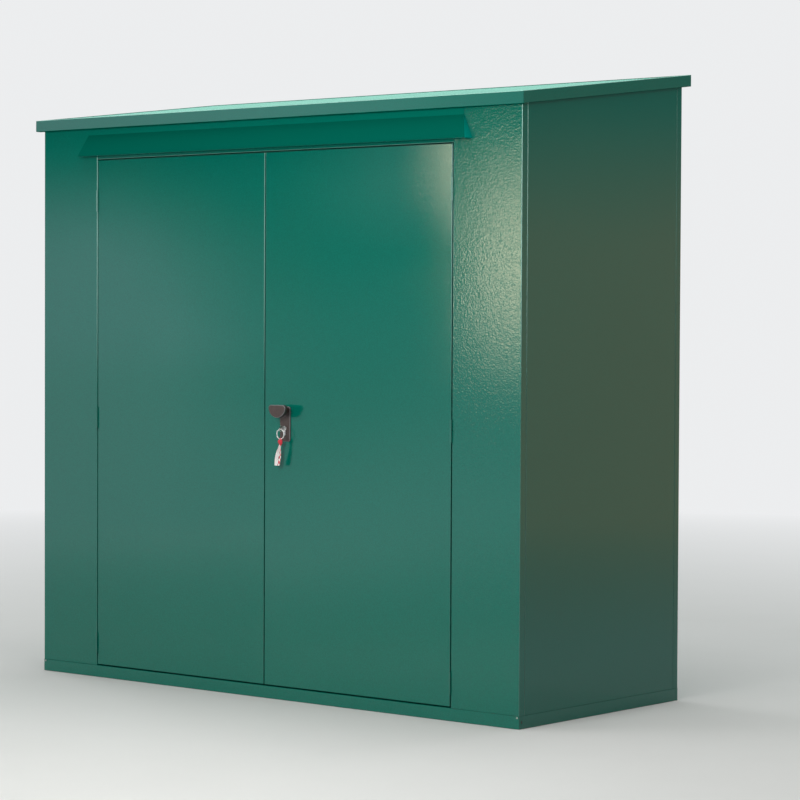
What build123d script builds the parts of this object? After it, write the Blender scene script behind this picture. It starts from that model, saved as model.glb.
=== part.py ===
from build123d import *
import math
import os

# Pent-roof tool shed in folded sheet steel, with double doors in its long front wall.
# X runs along the front to the right, Y from the front wall to the back wall, Z up.
# The origin lies on the ground under the middle of the four walls. Lengths in millimetres.

# Body
wall_width = 2200.0  # over the outer faces of the side walls
wall_depth = 895.0  # over the outer faces of the front and back walls
front_height = 2021.0  # ground to the top of the front fascia
roof_rise = 116.0  # the back fascia stands this much higher
sheet = 1.2  # every panel is folded from this sheet
bend = 2.0  # outer radius of a fold
flange = 25.0  # turned-in edge of a wall panel
seam = 0.6  # open joint between two panels of a wall
seat = 0.3  # one piece standing on another

# Base
base_height = 43.0
rail_flange = 30.0
rail_wrap = 10.0  # return of the front and back rails round a corner
bearer_width = 40.0
floor_tray_count = 3

# Walls
side_panel_width = 277.5  # front panel between a corner and the doorway
front_return = 29.0  # return of a front panel round its corner
back_return = 28.0
back_panel_count = 3

# Roof
overhang = 22.0  # roof beyond the walls on all four sides
fascia_height = 40.0
fascia_cap = 20.0  # fascia turned in over the roof trays
roof_rib = 25.0  # turned-down edge between two roof trays
roof_tray_count = 3

# Doorway and doors
head_drop = 154.5  # door tops below the top of the front fascia
door_gap = 5.0  # around each door and between the two
door_depth = 30.0
door_lip = 20.0
stop_lip = 12.5  # door stop standing into the doorway
brace_height = 50.0  # crown of a door brace
brace_depth = 14.0
brace_foot = 20.0
brace_inset = 264.0  # outer braces from the ends of the door
brace_lock_gap = 215.0  # inner braces from the middle of the lock

# Rain hood over the doors
hood_clearance = 15.5  # hood above the door tops
hood_height = 80.0  # of its slope
hood_reach = 32.0
hood_overlap = 42.5  # upper edge past the doorway at each end
hood_lip_flare = 28.0  # lower outer corner past the upper edge
hood_wall_flare = 35.0  # lower wall corner past the upper edge
hood_lip = 8.0

# Hinges
hinge_height = 76.0
hinge_inset_bottom = 75.0  # lowest hinge, middle above the foot of the door
hinge_inset_top = 144.5  # highest hinge, middle below the top of the door
hinge_middle = 940.0  # middle hinge above the ground
knuckle_radius = 3.5
knuckle_proud = 3.6  # pin centre in front of the wall
knuckle_gap = 0.4
pin_radius = 1.5
pin_clearance = 0.1
leaf_width = 24.0
leaf_thickness = 1.3

# Lock and handle, on the right door
lock_inset = 98.0  # from the middle of the doorway
plate_width = 46.0
plate_height = 119.0
plate_depth = 5.0
plate_corner = 8.0
plate_bevel = 1.5
plate_level = 943.5  # middle of the plate above the ground
handle_rise = 48.0  # spindle above the middle of the plate
handle_width = 79.0
handle_height = 43.0
handle_crown = 17.0  # flat top of the grip above the spindle
handle_corner = 12.0
handle_bevel = 1.8
handle_thickness = 13.0
handle_reach = 47.0  # front of the handle before the door
handle_gap = 0.5  # handle foot to plate
neck_radius = 16.0  # where the neck meets the grip
neck_foot_radius = 13.0
spindle_radius = 5.0
cylinder_drop = 15.5  # round head of the lock cylinder below the middle of the plate
cylinder_radius = 8.5
cylinder_height = 33.0  # round head and tail
cylinder_tail_width = 10.0
cylinder_bevel = 0.6
cylinder_proud = 3.0
case_width = 76.0
case_height = 128.0
case_depth = 24.0
case_corner = 3.0
rod_radius = 4.0
rod_end_gap = 0.8
key_thickness = 2.2
key_bow_radius = 11.0
key_neck = 3.0  # shaft showing before the bow
key_blade = 7.0
key_hole_radius = 3.4
key_hole_offset = 5.0  # hole in front of the bow's middle
ring_radius = 16.5
ring_wire = 0.9
tag_width = 20.0
tag_length = 90.0
tag_thickness = 4.0
tag_loop = 3.4  # bore of the strap's loop round the ring
tag_loop_width = 9.0

# Places that follow from the sizes above
hw = wall_width / 2
hd = wall_depth / 2
jamb = hw - side_panel_width
slope = roof_rise / (wall_depth + 2 * overhang)
roof_front = -hd - overhang
roof_back = hd + overhang
roof_side = hw + overhang
stop_depth = door_depth + door_gap
sill_depth = stop_depth + sheet
panel_foot = base_height + seat
door_bottom = base_height + door_gap
door_top = front_height - head_drop
door_outer = jamb - door_gap
door_inner = door_gap / 2
header_bottom = door_top + door_gap
stop_bottom = header_bottom - stop_lip
back_height = front_height + roof_rise
tray_drop = sheet + seat  # roof tray below the top of the fascia
ceiling_drop = tray_drop + sheet + seat
hinge_x = jamb - door_gap / 2
hinge_y = -hd - knuckle_proud
hinge_levels = (door_bottom + hinge_inset_bottom, hinge_middle, door_top - hinge_inset_top)
brace_levels = (
    door_bottom + brace_inset,
    plate_level - brace_lock_gap,
    plate_level + brace_lock_gap,
    door_top - brace_inset,
)
handle_level = plate_level + handle_rise
cylinder_level = plate_level - cylinder_drop


def roof_z(y, drop=0.0):
    """Height of the roof slope at y, lowered by drop."""
    return front_height + (y - roof_front) * slope - drop


def folded(points, side, plane=Plane.XY):
    """Section of a sheet folded along its outer line, with the metal on the given side."""
    with BuildSketch(plane) as section:
        with BuildLine():
            line = FilletPolyline(*points, radius=bend)
            offset(line, amount=sheet, side=side)
        make_face()
    return section.sketch


def along_roof(length):
    """Distance up the slope for a length measured level, front to back."""
    return length * math.hypot(1.0, slope)


up_the_roof = (0.0, 1.0, slope)
half_sheet = sheet / 2

# Base rails
front_rail_line = [
    (-hd + rail_flange, 0),
    (-hd, 0),
    (-hd, base_height),
    (-hd + stop_depth, base_height),
    (-hd + stop_depth, base_height + stop_lip),
]
with BuildPart() as base_front_rail:
    with BuildSketch(Plane.YZ.offset(-hw)):
        add(folded(front_rail_line, Side.RIGHT))
    extrude(amount=wall_width)
    for end in (-1, 1):
        with BuildSketch(Plane.XY.offset(half_sheet)):
            with Locations((end * (hw - half_sheet), -hd + (half_sheet + rail_wrap) / 2)):
                Rectangle(sheet, rail_wrap - half_sheet)
        extrude(amount=base_height - sheet)
        with BuildSketch(Plane.XY.offset(base_height)):
            with Locations((end * (hw - (hw - jamb) / 2), -hd + stop_depth)):
                Rectangle(hw - jamb + 2 * seam, 4 * bend)
        extrude(amount=stop_lip, mode=Mode.SUBTRACT)
        with BuildSketch(Plane.XY):
            with Locations((end * (hw - (sheet + seat) / 2), -hd + rail_wrap + sill_depth / 2)):
                Rectangle(sheet + seat, sill_depth)
        extrude(amount=base_height + stop_lip, mode=Mode.SUBTRACT)

back_rail_line = [
    (hd - rail_flange, 0),
    (hd, 0),
    (hd, base_height),
    (hd - rail_flange, base_height),
]
with BuildPart() as base_back_rail:
    with BuildSketch(Plane.YZ.offset(-hw)):
        add(folded(back_rail_line, Side.LEFT))
    extrude(amount=wall_width)
    for end in (-1, 1):
        with BuildSketch(Plane.XY.offset(half_sheet)):
            with Locations((end * (hw - half_sheet), hd - (half_sheet + rail_wrap) / 2)):
                Rectangle(sheet, rail_wrap - half_sheet)
        extrude(amount=base_height - sheet)
        with BuildSketch(Plane.XY):
            with Locations((end * (hw - (sheet + seat) / 2), hd - rail_wrap - rail_flange / 2)):
                Rectangle(sheet + seat, rail_flange)
        extrude(amount=base_height, mode=Mode.SUBTRACT)

side_rail_line = [
    (hw - rail_flange, 0),
    (hw, 0),
    (hw, base_height),
    (hw - rail_flange, base_height),
]
side_rail_start = -hd + rail_wrap + seam
side_rail_length = wall_depth - 2 * (rail_wrap + seam)
with BuildPart() as base_right_rail:
    with BuildSketch(Plane.XZ.offset(-side_rail_start)):
        add(folded(side_rail_line, Side.LEFT))
    extrude(amount=-side_rail_length)
    with BuildSketch(Plane.XY):
        with Locations((hw - rail_flange / 2 - sheet, -hd + sill_depth / 2)):
            Rectangle(rail_flange, sill_depth + 2 * seam)
        with Locations((hw - rail_flange / 2 - sheet, hd - rail_flange / 2)):
            Rectangle(rail_flange, rail_flange + 2 * seam)
    extrude(amount=base_height, mode=Mode.SUBTRACT)

with BuildPart() as base_left_rail:
    add(base_right_rail.part.mirror(Plane.YZ))

# Floor trays, with skirts down to the ground, and a bearer under the middle one
floor_edge = hw - rail_flange - seam
floor_front = -hd + sill_depth + seam
floor_back = hd - rail_flange - seam
floor_tray_width = (2 * floor_edge - (floor_tray_count - 1) * seam) / floor_tray_count
floor_trays = []
for index in range(floor_tray_count):
    left = -floor_edge + index * (floor_tray_width + seam)
    right = left + floor_tray_width
    tray_line = [(left, 0), (left, base_height), (right, base_height), (right, 0)]
    with BuildPart() as floor_tray:
        with BuildSketch(Plane.XZ.offset(-floor_front)):
            add(folded(tray_line, Side.RIGHT))
        extrude(amount=-(floor_back - floor_front))
        with BuildSketch(Plane.XY):
            for skirt in (floor_front + half_sheet, floor_back - half_sheet):
                with Locations(((left + right) / 2, skirt)):
                    Rectangle(floor_tray_width - sheet, sheet)
        extrude(amount=base_height - half_sheet)
    floor_trays.append(floor_tray.part)

bearer_top = base_height - sheet - seat
bearer_line = [
    (-bearer_width / 2, bearer_top),
    (-bearer_width / 2, 0),
    (bearer_width / 2, 0),
    (bearer_width / 2, bearer_top),
]
with BuildPart() as floor_bearer:
    with BuildSketch(Plane.XZ.offset(-floor_front - sheet - seat)):
        add(folded(bearer_line, Side.LEFT))
    extrude(amount=-(floor_back - floor_front - 2 * (sheet + seat)))

# Front panels, each wrapped round its corner and folded in at the doorway as the door stop
front_wall_top = roof_z(-hd, ceiling_drop)
front_panel_line = [
    (hw - flange, -hd + front_return),
    (hw, -hd + front_return),
    (hw, -hd),
    (jamb, -hd),
    (jamb, -hd + stop_depth),
    (jamb - stop_lip, -hd + stop_depth),
]
with BuildPart() as front_right_panel:
    with BuildSketch(Plane.XY.offset(panel_foot)):
        add(folded(front_panel_line, Side.RIGHT))
    extrude(amount=front_wall_top - panel_foot)
    for level in (panel_foot, front_wall_top - sheet):
        with BuildSketch(Plane.XY.offset(level)):
            with Locations(((hw + jamb) / 2, -hd + (half_sheet + flange) / 2)):
                Rectangle(hw - jamb - sheet, flange - half_sheet)
        extrude(amount=sheet)
    with BuildSketch(Plane.XY.offset(stop_bottom - seam)):
        with Locations((jamb - stop_lip, -hd + stop_depth)):
            Rectangle(2 * stop_lip, 6 * bend)
    extrude(amount=front_wall_top - stop_bottom + seam, mode=Mode.SUBTRACT)
    with BuildSketch(Plane.XY.offset(panel_foot)):
        with Locations((jamb - stop_lip, -hd + stop_depth)):
            Rectangle(2 * stop_lip, 6 * bend)
    extrude(amount=stop_lip + seam, mode=Mode.SUBTRACT)

with BuildPart() as front_left_panel:
    add(front_right_panel.part.mirror(Plane.YZ))

# Header over the doors
header_line = [
    (-hd + stop_depth, stop_bottom),
    (-hd + stop_depth, header_bottom),
    (-hd, header_bottom),
    (-hd, front_wall_top),
    (-hd + flange, front_wall_top),
]
header_length = 2 * (jamb - seam)
with BuildPart() as header_panel:
    with BuildSketch(Plane.YZ.offset(-header_length / 2)):
        add(folded(header_line, Side.RIGHT))
    extrude(amount=header_length)

# Side walls
side_start = -hd + front_return + seam
side_end = hd - back_return - seam
side_wall_line = [
    (hw - flange, side_start),
    (hw, side_start),
    (hw, side_end),
    (hw - flange, side_end),
]
ceiling = Plane(origin=(0, 0, roof_z(0, ceiling_drop)), x_dir=(1, 0, 0), z_dir=(0, -slope, 1))
side_top_start = side_start + half_sheet
side_top_run = side_end - side_start - sheet
with BuildPart() as right_wall_panel:
    with BuildSketch(Plane.XY.offset(panel_foot)):
        add(folded(side_wall_line, Side.LEFT))
    extrude(amount=back_height - panel_foot)
    split(bisect_by=ceiling, keep=Keep.BOTTOM)
    with BuildSketch(Plane.XY.offset(panel_foot)):
        with Locations((hw - (half_sheet + flange) / 2, (side_start + side_end) / 2)):
            Rectangle(flange - half_sheet, side_end - side_start - sheet)
    extrude(amount=sheet)
    with BuildSketch(Plane.XZ.offset(-side_top_start)):
        with Locations((hw - (half_sheet + flange) / 2, roof_z(side_top_start, ceiling_drop) - half_sheet)):
            Rectangle(flange - half_sheet, sheet)
    extrude(amount=along_roof(side_top_run), dir=up_the_roof)

with BuildPart() as left_wall_panel:
    add(right_wall_panel.part.mirror(Plane.YZ))

# Back wall
back_wall_top = roof_z(hd - max(flange, back_return), ceiling_drop)
back_panel_width = (wall_width - (back_panel_count - 1) * seam) / back_panel_count
back_edge = back_panel_width / 2
back_right_line = [
    (hw - flange, hd - back_return),
    (hw, hd - back_return),
    (hw, hd),
    (back_edge + seam, hd),
    (back_edge + seam, hd - flange),
]
back_centre_line = [
    (back_edge, hd - flange),
    (back_edge, hd),
    (-back_edge, hd),
    (-back_edge, hd - flange),
]
with BuildPart() as back_right_panel:
    with BuildSketch(Plane.XY.offset(panel_foot)):
        add(folded(back_right_line, Side.LEFT))
    extrude(amount=back_wall_top - panel_foot)
    for level in (panel_foot, back_wall_top - sheet):
        with BuildSketch(Plane.XY.offset(level)):
            with Locations(((hw + back_edge + seam) / 2, hd - (half_sheet + flange) / 2)):
                Rectangle(hw - back_edge - seam - sheet, flange - half_sheet)
        extrude(amount=sheet)

with BuildPart() as back_left_panel:
    add(back_right_panel.part.mirror(Plane.YZ))

with BuildPart() as back_centre_panel:
    with BuildSketch(Plane.XY.offset(panel_foot)):
        add(folded(back_centre_line, Side.LEFT))
    extrude(amount=back_wall_top - panel_foot)
    for level in (panel_foot, back_wall_top - sheet):
        with BuildSketch(Plane.XY.offset(level)):
            with Locations((0, hd - (half_sheet + flange) / 2)):
                Rectangle(back_panel_width - sheet, flange - half_sheet)
        extrude(amount=sheet)

# Roof trays, joined by turned-down ribs inside the shed
tray_edge = roof_side - sheet - seam
tray_front = roof_front + sheet + seam
tray_run = wall_depth + 2 * (overhang - sheet - seam)
tray_width = (2 * tray_edge - (roof_tray_count - 1) * seam) / roof_tray_count
rib_front = -hd + flange + seam
rib_run = wall_depth - 2 * (flange + seam)
roof_trays = []
for index in range(roof_tray_count):
    left = -tray_edge + index * (tray_width + seam)
    right = left + tray_width
    with BuildPart() as roof_tray:
        with BuildSketch(Plane.XZ.offset(-tray_front)):
            with Locations(((left + right) / 2, roof_z(tray_front, tray_drop) - half_sheet)):
                Rectangle(tray_width, sheet)
        extrude(amount=along_roof(tray_run), dir=up_the_roof)
        for edge in (left + half_sheet, right - half_sheet):
            if abs(edge) < tray_edge - sheet:
                with BuildSketch(Plane.XZ.offset(-rib_front)):
                    with Locations((edge, roof_z(rib_front, tray_drop) - roof_rib / 2)):
                        Rectangle(sheet, roof_rib)
                extrude(amount=along_roof(rib_run), dir=up_the_roof)
    roof_trays.append(roof_tray.part)

# Fascias
fascia_end = roof_side - sheet - seam
front_fascia_line = [
    (-hd - seam, front_height - fascia_height),
    (roof_front, front_height - fascia_height),
    (roof_front, front_height),
    (roof_front + fascia_cap, front_height + fascia_cap * slope),
]
with BuildPart() as front_fascia:
    with BuildSketch(Plane.YZ.offset(-fascia_end)):
        add(folded(front_fascia_line, Side.RIGHT))
    extrude(amount=2 * fascia_end)

back_fascia_line = [
    (hd + seam, back_height - fascia_height),
    (roof_back, back_height - fascia_height),
    (roof_back, back_height),
    (roof_back - fascia_cap, back_height - fascia_cap * slope),
]
with BuildPart() as back_fascia:
    with BuildSketch(Plane.YZ.offset(-fascia_end)):
        add(folded(back_fascia_line, Side.LEFT))
    extrude(amount=2 * fascia_end)

fascia_run = wall_depth + 2 * overhang
side_fascia_line = [
    (hw + seam, front_height - fascia_height),
    (roof_side, front_height - fascia_height),
    (roof_side, front_height),
    (roof_side - fascia_cap, front_height),
]
with BuildPart() as right_fascia:
    with BuildSketch(Plane.XZ.offset(-roof_front)):
        add(folded(side_fascia_line, Side.LEFT))
    extrude(amount=along_roof(fascia_run), dir=up_the_roof)
    with BuildSketch(Plane.XY):
        for corner in (roof_front + overhang / 2, roof_back - overhang / 2):
            with Locations((roof_side - sheet - overhang / 2, corner)):
                Rectangle(overhang, overhang + 2 * seam)
    extrude(amount=back_height + overhang, mode=Mode.SUBTRACT)

with BuildPart() as left_fascia:
    add(right_fascia.part.mirror(Plane.YZ))

# Rain hood: a wedge hollowed from behind and below, with flared ends and an upright edge
hood_back = -hd - seat
hood_bottom = door_top + hood_clearance
hood_fold = hood_bottom + hood_height
hood_top_half = jamb + hood_overlap
hood_lip_half = hood_top_half + hood_lip_flare
hood_wall_half = hood_top_half + hood_wall_flare
hood_profile = [
    (hood_back, hood_bottom),
    (hood_back, hood_fold),
    (hood_back - hood_reach, hood_bottom),
]
hood_top_corner = Vector(hood_top_half, hood_back, hood_fold)
hood_lip_corner = Vector(hood_lip_half, hood_back - hood_reach, hood_bottom)
hood_wall_corner = Vector(hood_wall_half, hood_back, hood_bottom)
hood_end_normal = (hood_lip_corner - hood_top_corner).cross(hood_wall_corner - hood_top_corner)
hood_right_end = Plane(origin=hood_top_corner, z_dir=hood_end_normal)
hood_rim = front_height - fascia_height - seat
with BuildPart() as rain_hood:
    with BuildSketch(Plane.YZ.offset(-hood_wall_half)):
        with BuildLine():
            Polyline(*hood_profile, close=True)
        make_face()
    extrude(amount=2 * hood_wall_half)
    split(bisect_by=hood_right_end, keep=Keep.BOTTOM)
    mirrored_half = split(rain_hood.part, bisect_by=Plane.YZ, keep=Keep.TOP, mode=Mode.PRIVATE)
    add(mirrored_half, mode=Mode.REPLACE)
    mirror(about=Plane.YZ)
    offset(
        amount=-sheet,
        openings=rain_hood.faces().filter_by(Axis.Z).sort_by(Axis.Z)[:1]
        + rain_hood.faces().filter_by(Axis.Y),
    )
    with BuildSketch(Plane.XY.offset(hood_fold - 4 * sheet)):
        with Locations((0, hood_back - half_sheet)):
            Rectangle(2 * hood_top_half, sheet)
    extrude(amount=hood_rim - hood_fold + 4 * sheet)
    with BuildSketch(Plane.XY.offset(hood_bottom)):
        with Locations((0, hood_back - hood_reach + half_sheet + hood_lip / 2)):
            Rectangle(2 * hood_lip_half - 4 * sheet, hood_lip)
    extrude(amount=sheet)

# Doors: folded pans with top and bottom edges turned in
right_door_line = [
    (door_inner + door_lip, -hd + door_depth),
    (door_inner, -hd + door_depth),
    (door_inner, -hd),
    (door_outer, -hd),
    (door_outer, -hd + door_depth),
    (door_outer - door_lip, -hd + door_depth),
]
door_middle = (door_inner + door_outer) / 2
door_width = door_outer - door_inner
with BuildPart() as right_door:
    with BuildSketch(Plane.XY.offset(door_bottom)):
        add(folded(right_door_line, Side.LEFT))
    extrude(amount=door_top - door_bottom)
    for level in (door_bottom, door_top - sheet):
        with BuildSketch(Plane.XY.offset(level)):
            with Locations((door_middle, -hd + door_depth / 2)):
                Rectangle(door_width - sheet, door_depth - sheet)
        extrude(amount=sheet)
    for level in (door_bottom + half_sheet, door_top - half_sheet - door_lip):
        with BuildSketch(Plane.XY.offset(level)):
            with Locations((door_middle, -hd + door_depth - half_sheet)):
                Rectangle(door_width - 2 * door_lip, sheet)
        extrude(amount=door_lip)

with BuildPart() as left_door:
    add(right_door.part.mirror(Plane.YZ))

# Door braces: hat sections across the inside of each door
brace_foot_y = -hd + sheet + seat
brace_crown_y = brace_foot_y + brace_depth
brace_reach = brace_height / 2 + brace_foot
brace_crown = brace_height / 2
with BuildPart() as right_door_braces:
    with BuildSketch(Plane.YZ.offset(door_inner + sheet + seat)):
        for level in brace_levels:
            with BuildLine():
                Polyline(
                    (brace_foot_y, level - brace_reach),
                    (brace_foot_y, level - brace_crown + sheet),
                    (brace_crown_y - sheet, level - brace_crown + sheet),
                    (brace_crown_y - sheet, level + brace_crown - sheet),
                    (brace_foot_y, level + brace_crown - sheet),
                    (brace_foot_y, level + brace_reach),
                    (brace_foot_y + sheet, level + brace_reach),
                    (brace_foot_y + sheet, level + brace_crown),
                    (brace_crown_y, level + brace_crown),
                    (brace_crown_y, level - brace_crown),
                    (brace_foot_y + sheet, level - brace_crown),
                    (brace_foot_y + sheet, level - brace_reach),
                    close=True,
                )
            make_face()
    extrude(amount=door_width - 2 * (sheet + seat))

with BuildPart() as left_door_braces:
    add(right_door_braces.part.mirror(Plane.YZ))

# Hinges in the side gaps: outer knuckles and pin on the frame leaf, middle knuckle on the door leaf
knuckle_length = (hinge_height - 2 * knuckle_gap) / 3
middle_half = knuckle_length / 2 + knuckle_gap
leaf_clear = knuckle_radius + knuckle_gap
leaf_end = -hd + leaf_width
with BuildPart() as right_frame_hinges:
    for level in hinge_levels:
        with BuildSketch(Plane.YZ.offset(jamb - leaf_thickness)):
            with Locations(((hinge_y + leaf_end) / 2, level)):
                Rectangle(leaf_end - hinge_y, hinge_height)
            with Locations((hinge_y + leaf_clear / 2, level)):
                Rectangle(leaf_clear, 2 * middle_half, mode=Mode.SUBTRACT)
        extrude(amount=leaf_thickness)
        for foot in (level - hinge_height / 2, level + middle_half):
            with BuildSketch(Plane.XY.offset(foot)):
                with Locations((hinge_x, hinge_y)):
                    Circle(knuckle_radius)
            extrude(amount=knuckle_length)
        with BuildSketch(Plane.XY.offset(level - hinge_height / 2)):
            with Locations((hinge_x, hinge_y)):
                Circle(pin_radius)
        extrude(amount=hinge_height)

with BuildPart() as left_frame_hinges:
    add(right_frame_hinges.part.mirror(Plane.YZ))

door_knuckle = knuckle_length / 2
with BuildPart() as right_door_hinges:
    for level in hinge_levels:
        with BuildSketch(Plane.YZ.offset(door_outer)):
            with Locations(((hinge_y + leaf_end) / 2, level)):
                Rectangle(leaf_end - hinge_y, hinge_height)
            for shift in (-1, 1):
                with Locations((hinge_y + leaf_clear / 2, level + shift * (door_knuckle + hinge_height / 2))):
                    Rectangle(leaf_clear, hinge_height, mode=Mode.SUBTRACT)
        extrude(amount=leaf_thickness)
        with BuildSketch(Plane.XY.offset(level - door_knuckle)):
            with Locations((hinge_x, hinge_y)):
                Circle(knuckle_radius)
        extrude(amount=knuckle_length)
        with BuildSketch(Plane.XY.offset(level - hinge_height)):
            with Locations((hinge_x, hinge_y)):
                Circle(pin_radius + pin_clearance)
        extrude(amount=2 * hinge_height, mode=Mode.SUBTRACT)

with BuildPart() as left_door_hinges:
    add(right_door_hinges.part.mirror(Plane.YZ))

# Lock plate with the spindle hole and the cylinder hole
tail_length = cylinder_height - cylinder_radius
tail_level = cylinder_level - tail_length / 2
with BuildPart() as lock_plate:
    with BuildSketch(Plane.XZ.offset(hd)):
        with Locations((lock_inset, plate_level)):
            RectangleRounded(plate_width, plate_height, plate_corner)
    extrude(amount=plate_depth)
    chamfer(lock_plate.faces().sort_by(Axis.Y)[0].edges(), length=plate_bevel)
    with BuildSketch(Plane.XZ.offset(hd)):
        with Locations((lock_inset, handle_level)):
            Circle(spindle_radius + seat)
        with Locations((lock_inset, cylinder_level)):
            Circle(cylinder_radius + seat)
        with Locations((lock_inset, tail_level)):
            SlotOverall(tail_length + 2 * seat, cylinder_tail_width + 2 * seat, rotation=90)
    extrude(amount=plate_depth, mode=Mode.SUBTRACT)

with BuildPart() as lock_cylinder:
    with BuildSketch(Plane.XZ.offset(hd)):
        with Locations((lock_inset, cylinder_level)):
            Circle(cylinder_radius)
        with Locations((lock_inset, tail_level)):
            SlotOverall(tail_length, cylinder_tail_width, rotation=90)
    extrude(amount=plate_depth + cylinder_proud)
    chamfer(lock_cylinder.faces().sort_by(Axis.Y)[0].edges(), length=cylinder_bevel)

# Handle: a wide grip, flat above and rounded below, on a tapering neck
grip_front = hd + handle_reach
grip_back = grip_front - handle_thickness
neck_start = hd + plate_depth + handle_gap
grip_top = handle_level + handle_crown
neck_length = grip_back - neck_start
with BuildPart() as t_handle:
    with BuildSketch(Plane.XZ.offset(grip_back)) as grip:
        with BuildLine():
            top_left = (lock_inset - handle_width / 2, grip_top)
            top_right = (lock_inset + handle_width / 2, grip_top)
            Line(top_left, top_right)
            ThreePointArc(top_left, (lock_inset, grip_top - handle_height), top_right)
        make_face()
        fillet(grip.vertices(), radius=handle_corner)
    extrude(amount=handle_thickness)
    chamfer(t_handle.faces().sort_by(Axis.Y)[0].edges(), length=handle_bevel)
    with BuildSketch(Plane.XZ.offset(neck_start)):
        with Locations((lock_inset, handle_level)):
            Circle(neck_foot_radius)
    extrude(amount=neck_length, taper=-math.degrees(math.atan((neck_radius - neck_foot_radius) / neck_length)))
    with BuildSketch(Plane.XZ.offset(hd)):
        with Locations((lock_inset, handle_level)):
            Circle(spindle_radius)
    extrude(amount=plate_depth + handle_gap)

# Lock case and rods inside the right door
case_front = -hd + sheet + seat
case_middle_y = case_front + case_depth / 2
with BuildPart() as lock_case:
    with BuildSketch(Plane.XY.offset(plate_level - case_height / 2)):
        with Locations((lock_inset, case_middle_y)):
            RectangleRounded(case_width, case_depth, case_corner)
    extrude(amount=case_height)

rod_y = brace_crown_y + rod_radius + seat
rod_top = door_top - sheet - rod_end_gap
rod_bottom = door_bottom + sheet + rod_end_gap
case_top = plate_level + case_height / 2
case_foot = plate_level - case_height / 2
with BuildPart() as lock_rods:
    with BuildSketch(Plane.XY.offset(case_top)):
        with Locations((lock_inset, rod_y)):
            Circle(rod_radius)
    extrude(amount=rod_top - case_top)
    with BuildSketch(Plane.XY.offset(rod_bottom)):
        with Locations((lock_inset, rod_y)):
            Circle(rod_radius)
    extrude(amount=case_foot - rod_bottom)

# Key left in the lock, its ring and the strap on the ring
key_start = hd + plate_depth + cylinder_proud
bow_y = -key_start - key_neck - key_bow_radius
hole_y = bow_y - key_hole_offset
with BuildPart() as door_key:
    with BuildSketch(Plane.YZ.offset(lock_inset - key_thickness / 2)):
        with Locations((bow_y, cylinder_level)):
            Circle(key_bow_radius)
        with Locations((-key_start - (key_neck + key_bow_radius) / 2, cylinder_level)):
            Rectangle(key_neck + key_bow_radius, key_blade)
        with Locations((hole_y, cylinder_level)):
            Circle(key_hole_radius, mode=Mode.SUBTRACT)
    extrude(amount=key_thickness)

ring_level = cylinder_level - key_hole_radius + ring_wire + seat - ring_radius
with BuildPart() as key_ring:
    with BuildSketch(Plane.YZ.offset(lock_inset)):
        with Locations((hole_y, ring_level + ring_radius)):
            Rectangle(2 * ring_wire, 2 * ring_wire)
    revolve(axis=Axis((lock_inset, hole_y, ring_level), (0, 1, 0)), revolution_arc=360)

wire_top = ring_level - math.sqrt((ring_radius - ring_wire) ** 2 - (tag_loop_width / 2) ** 2)
loop_level = wire_top + seat - math.sqrt(tag_loop**2 - ring_wire**2)
loop_outer = tag_loop + tag_thickness / 2
with BuildPart() as key_tag:
    with BuildSketch(Plane.YZ.offset(lock_inset - tag_loop_width / 2)):
        with Locations((hole_y, loop_level)):
            Circle(loop_outer)
            Circle(tag_loop, mode=Mode.SUBTRACT)
    extrude(amount=tag_loop_width)
    with BuildSketch(Plane.YZ.offset(lock_inset - tag_width / 2)):
        with Locations((hole_y, loop_level - (tag_loop + seat + tag_length) / 2)):
            Rectangle(tag_thickness, tag_length - tag_loop - seat)
    extrude(amount=tag_width)

os.makedirs("parts", exist_ok=True)

base_front_rail.part.label = "base_front_rail"
export_step(base_front_rail.part, "parts/base_front_rail.step")
base_back_rail.part.label = "base_back_rail"
export_step(base_back_rail.part, "parts/base_back_rail.step")
base_left_rail.part.label = "base_left_rail"
export_step(base_left_rail.part, "parts/base_left_rail.step")
base_right_rail.part.label = "base_right_rail"
export_step(base_right_rail.part, "parts/base_right_rail.step")
for name, tray in zip(("left", "centre", "right"), floor_trays):
    tray.label = f"floor_tray_{name}"
    export_step(tray, f"parts/floor_tray_{name}.step")
floor_bearer.part.label = "floor_bearer"
export_step(floor_bearer.part, "parts/floor_bearer.step")
front_left_panel.part.label = "front_left_panel"
export_step(front_left_panel.part, "parts/front_left_panel.step")
front_right_panel.part.label = "front_right_panel"
export_step(front_right_panel.part, "parts/front_right_panel.step")
header_panel.part.label = "header_panel"
export_step(header_panel.part, "parts/header_panel.step")
left_wall_panel.part.label = "left_wall_panel"
export_step(left_wall_panel.part, "parts/left_wall_panel.step")
right_wall_panel.part.label = "right_wall_panel"
export_step(right_wall_panel.part, "parts/right_wall_panel.step")
back_left_panel.part.label = "back_left_panel"
export_step(back_left_panel.part, "parts/back_left_panel.step")
back_centre_panel.part.label = "back_centre_panel"
export_step(back_centre_panel.part, "parts/back_centre_panel.step")
back_right_panel.part.label = "back_right_panel"
export_step(back_right_panel.part, "parts/back_right_panel.step")
for name, tray in zip(("left", "centre", "right"), roof_trays):
    tray.label = f"roof_tray_{name}"
    export_step(tray, f"parts/roof_tray_{name}.step")
front_fascia.part.label = "front_fascia"
export_step(front_fascia.part, "parts/front_fascia.step")
back_fascia.part.label = "back_fascia"
export_step(back_fascia.part, "parts/back_fascia.step")
left_fascia.part.label = "left_fascia"
export_step(left_fascia.part, "parts/left_fascia.step")
right_fascia.part.label = "right_fascia"
export_step(right_fascia.part, "parts/right_fascia.step")
rain_hood.part.label = "rain_hood"
export_step(rain_hood.part, "parts/rain_hood.step")
left_door.part.label = "left_door"
export_step(left_door.part, "parts/left_door.step")
right_door.part.label = "right_door"
export_step(right_door.part, "parts/right_door.step")
left_door_braces.part.label = "left_door_braces"
export_step(left_door_braces.part, "parts/left_door_braces.step")
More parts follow.
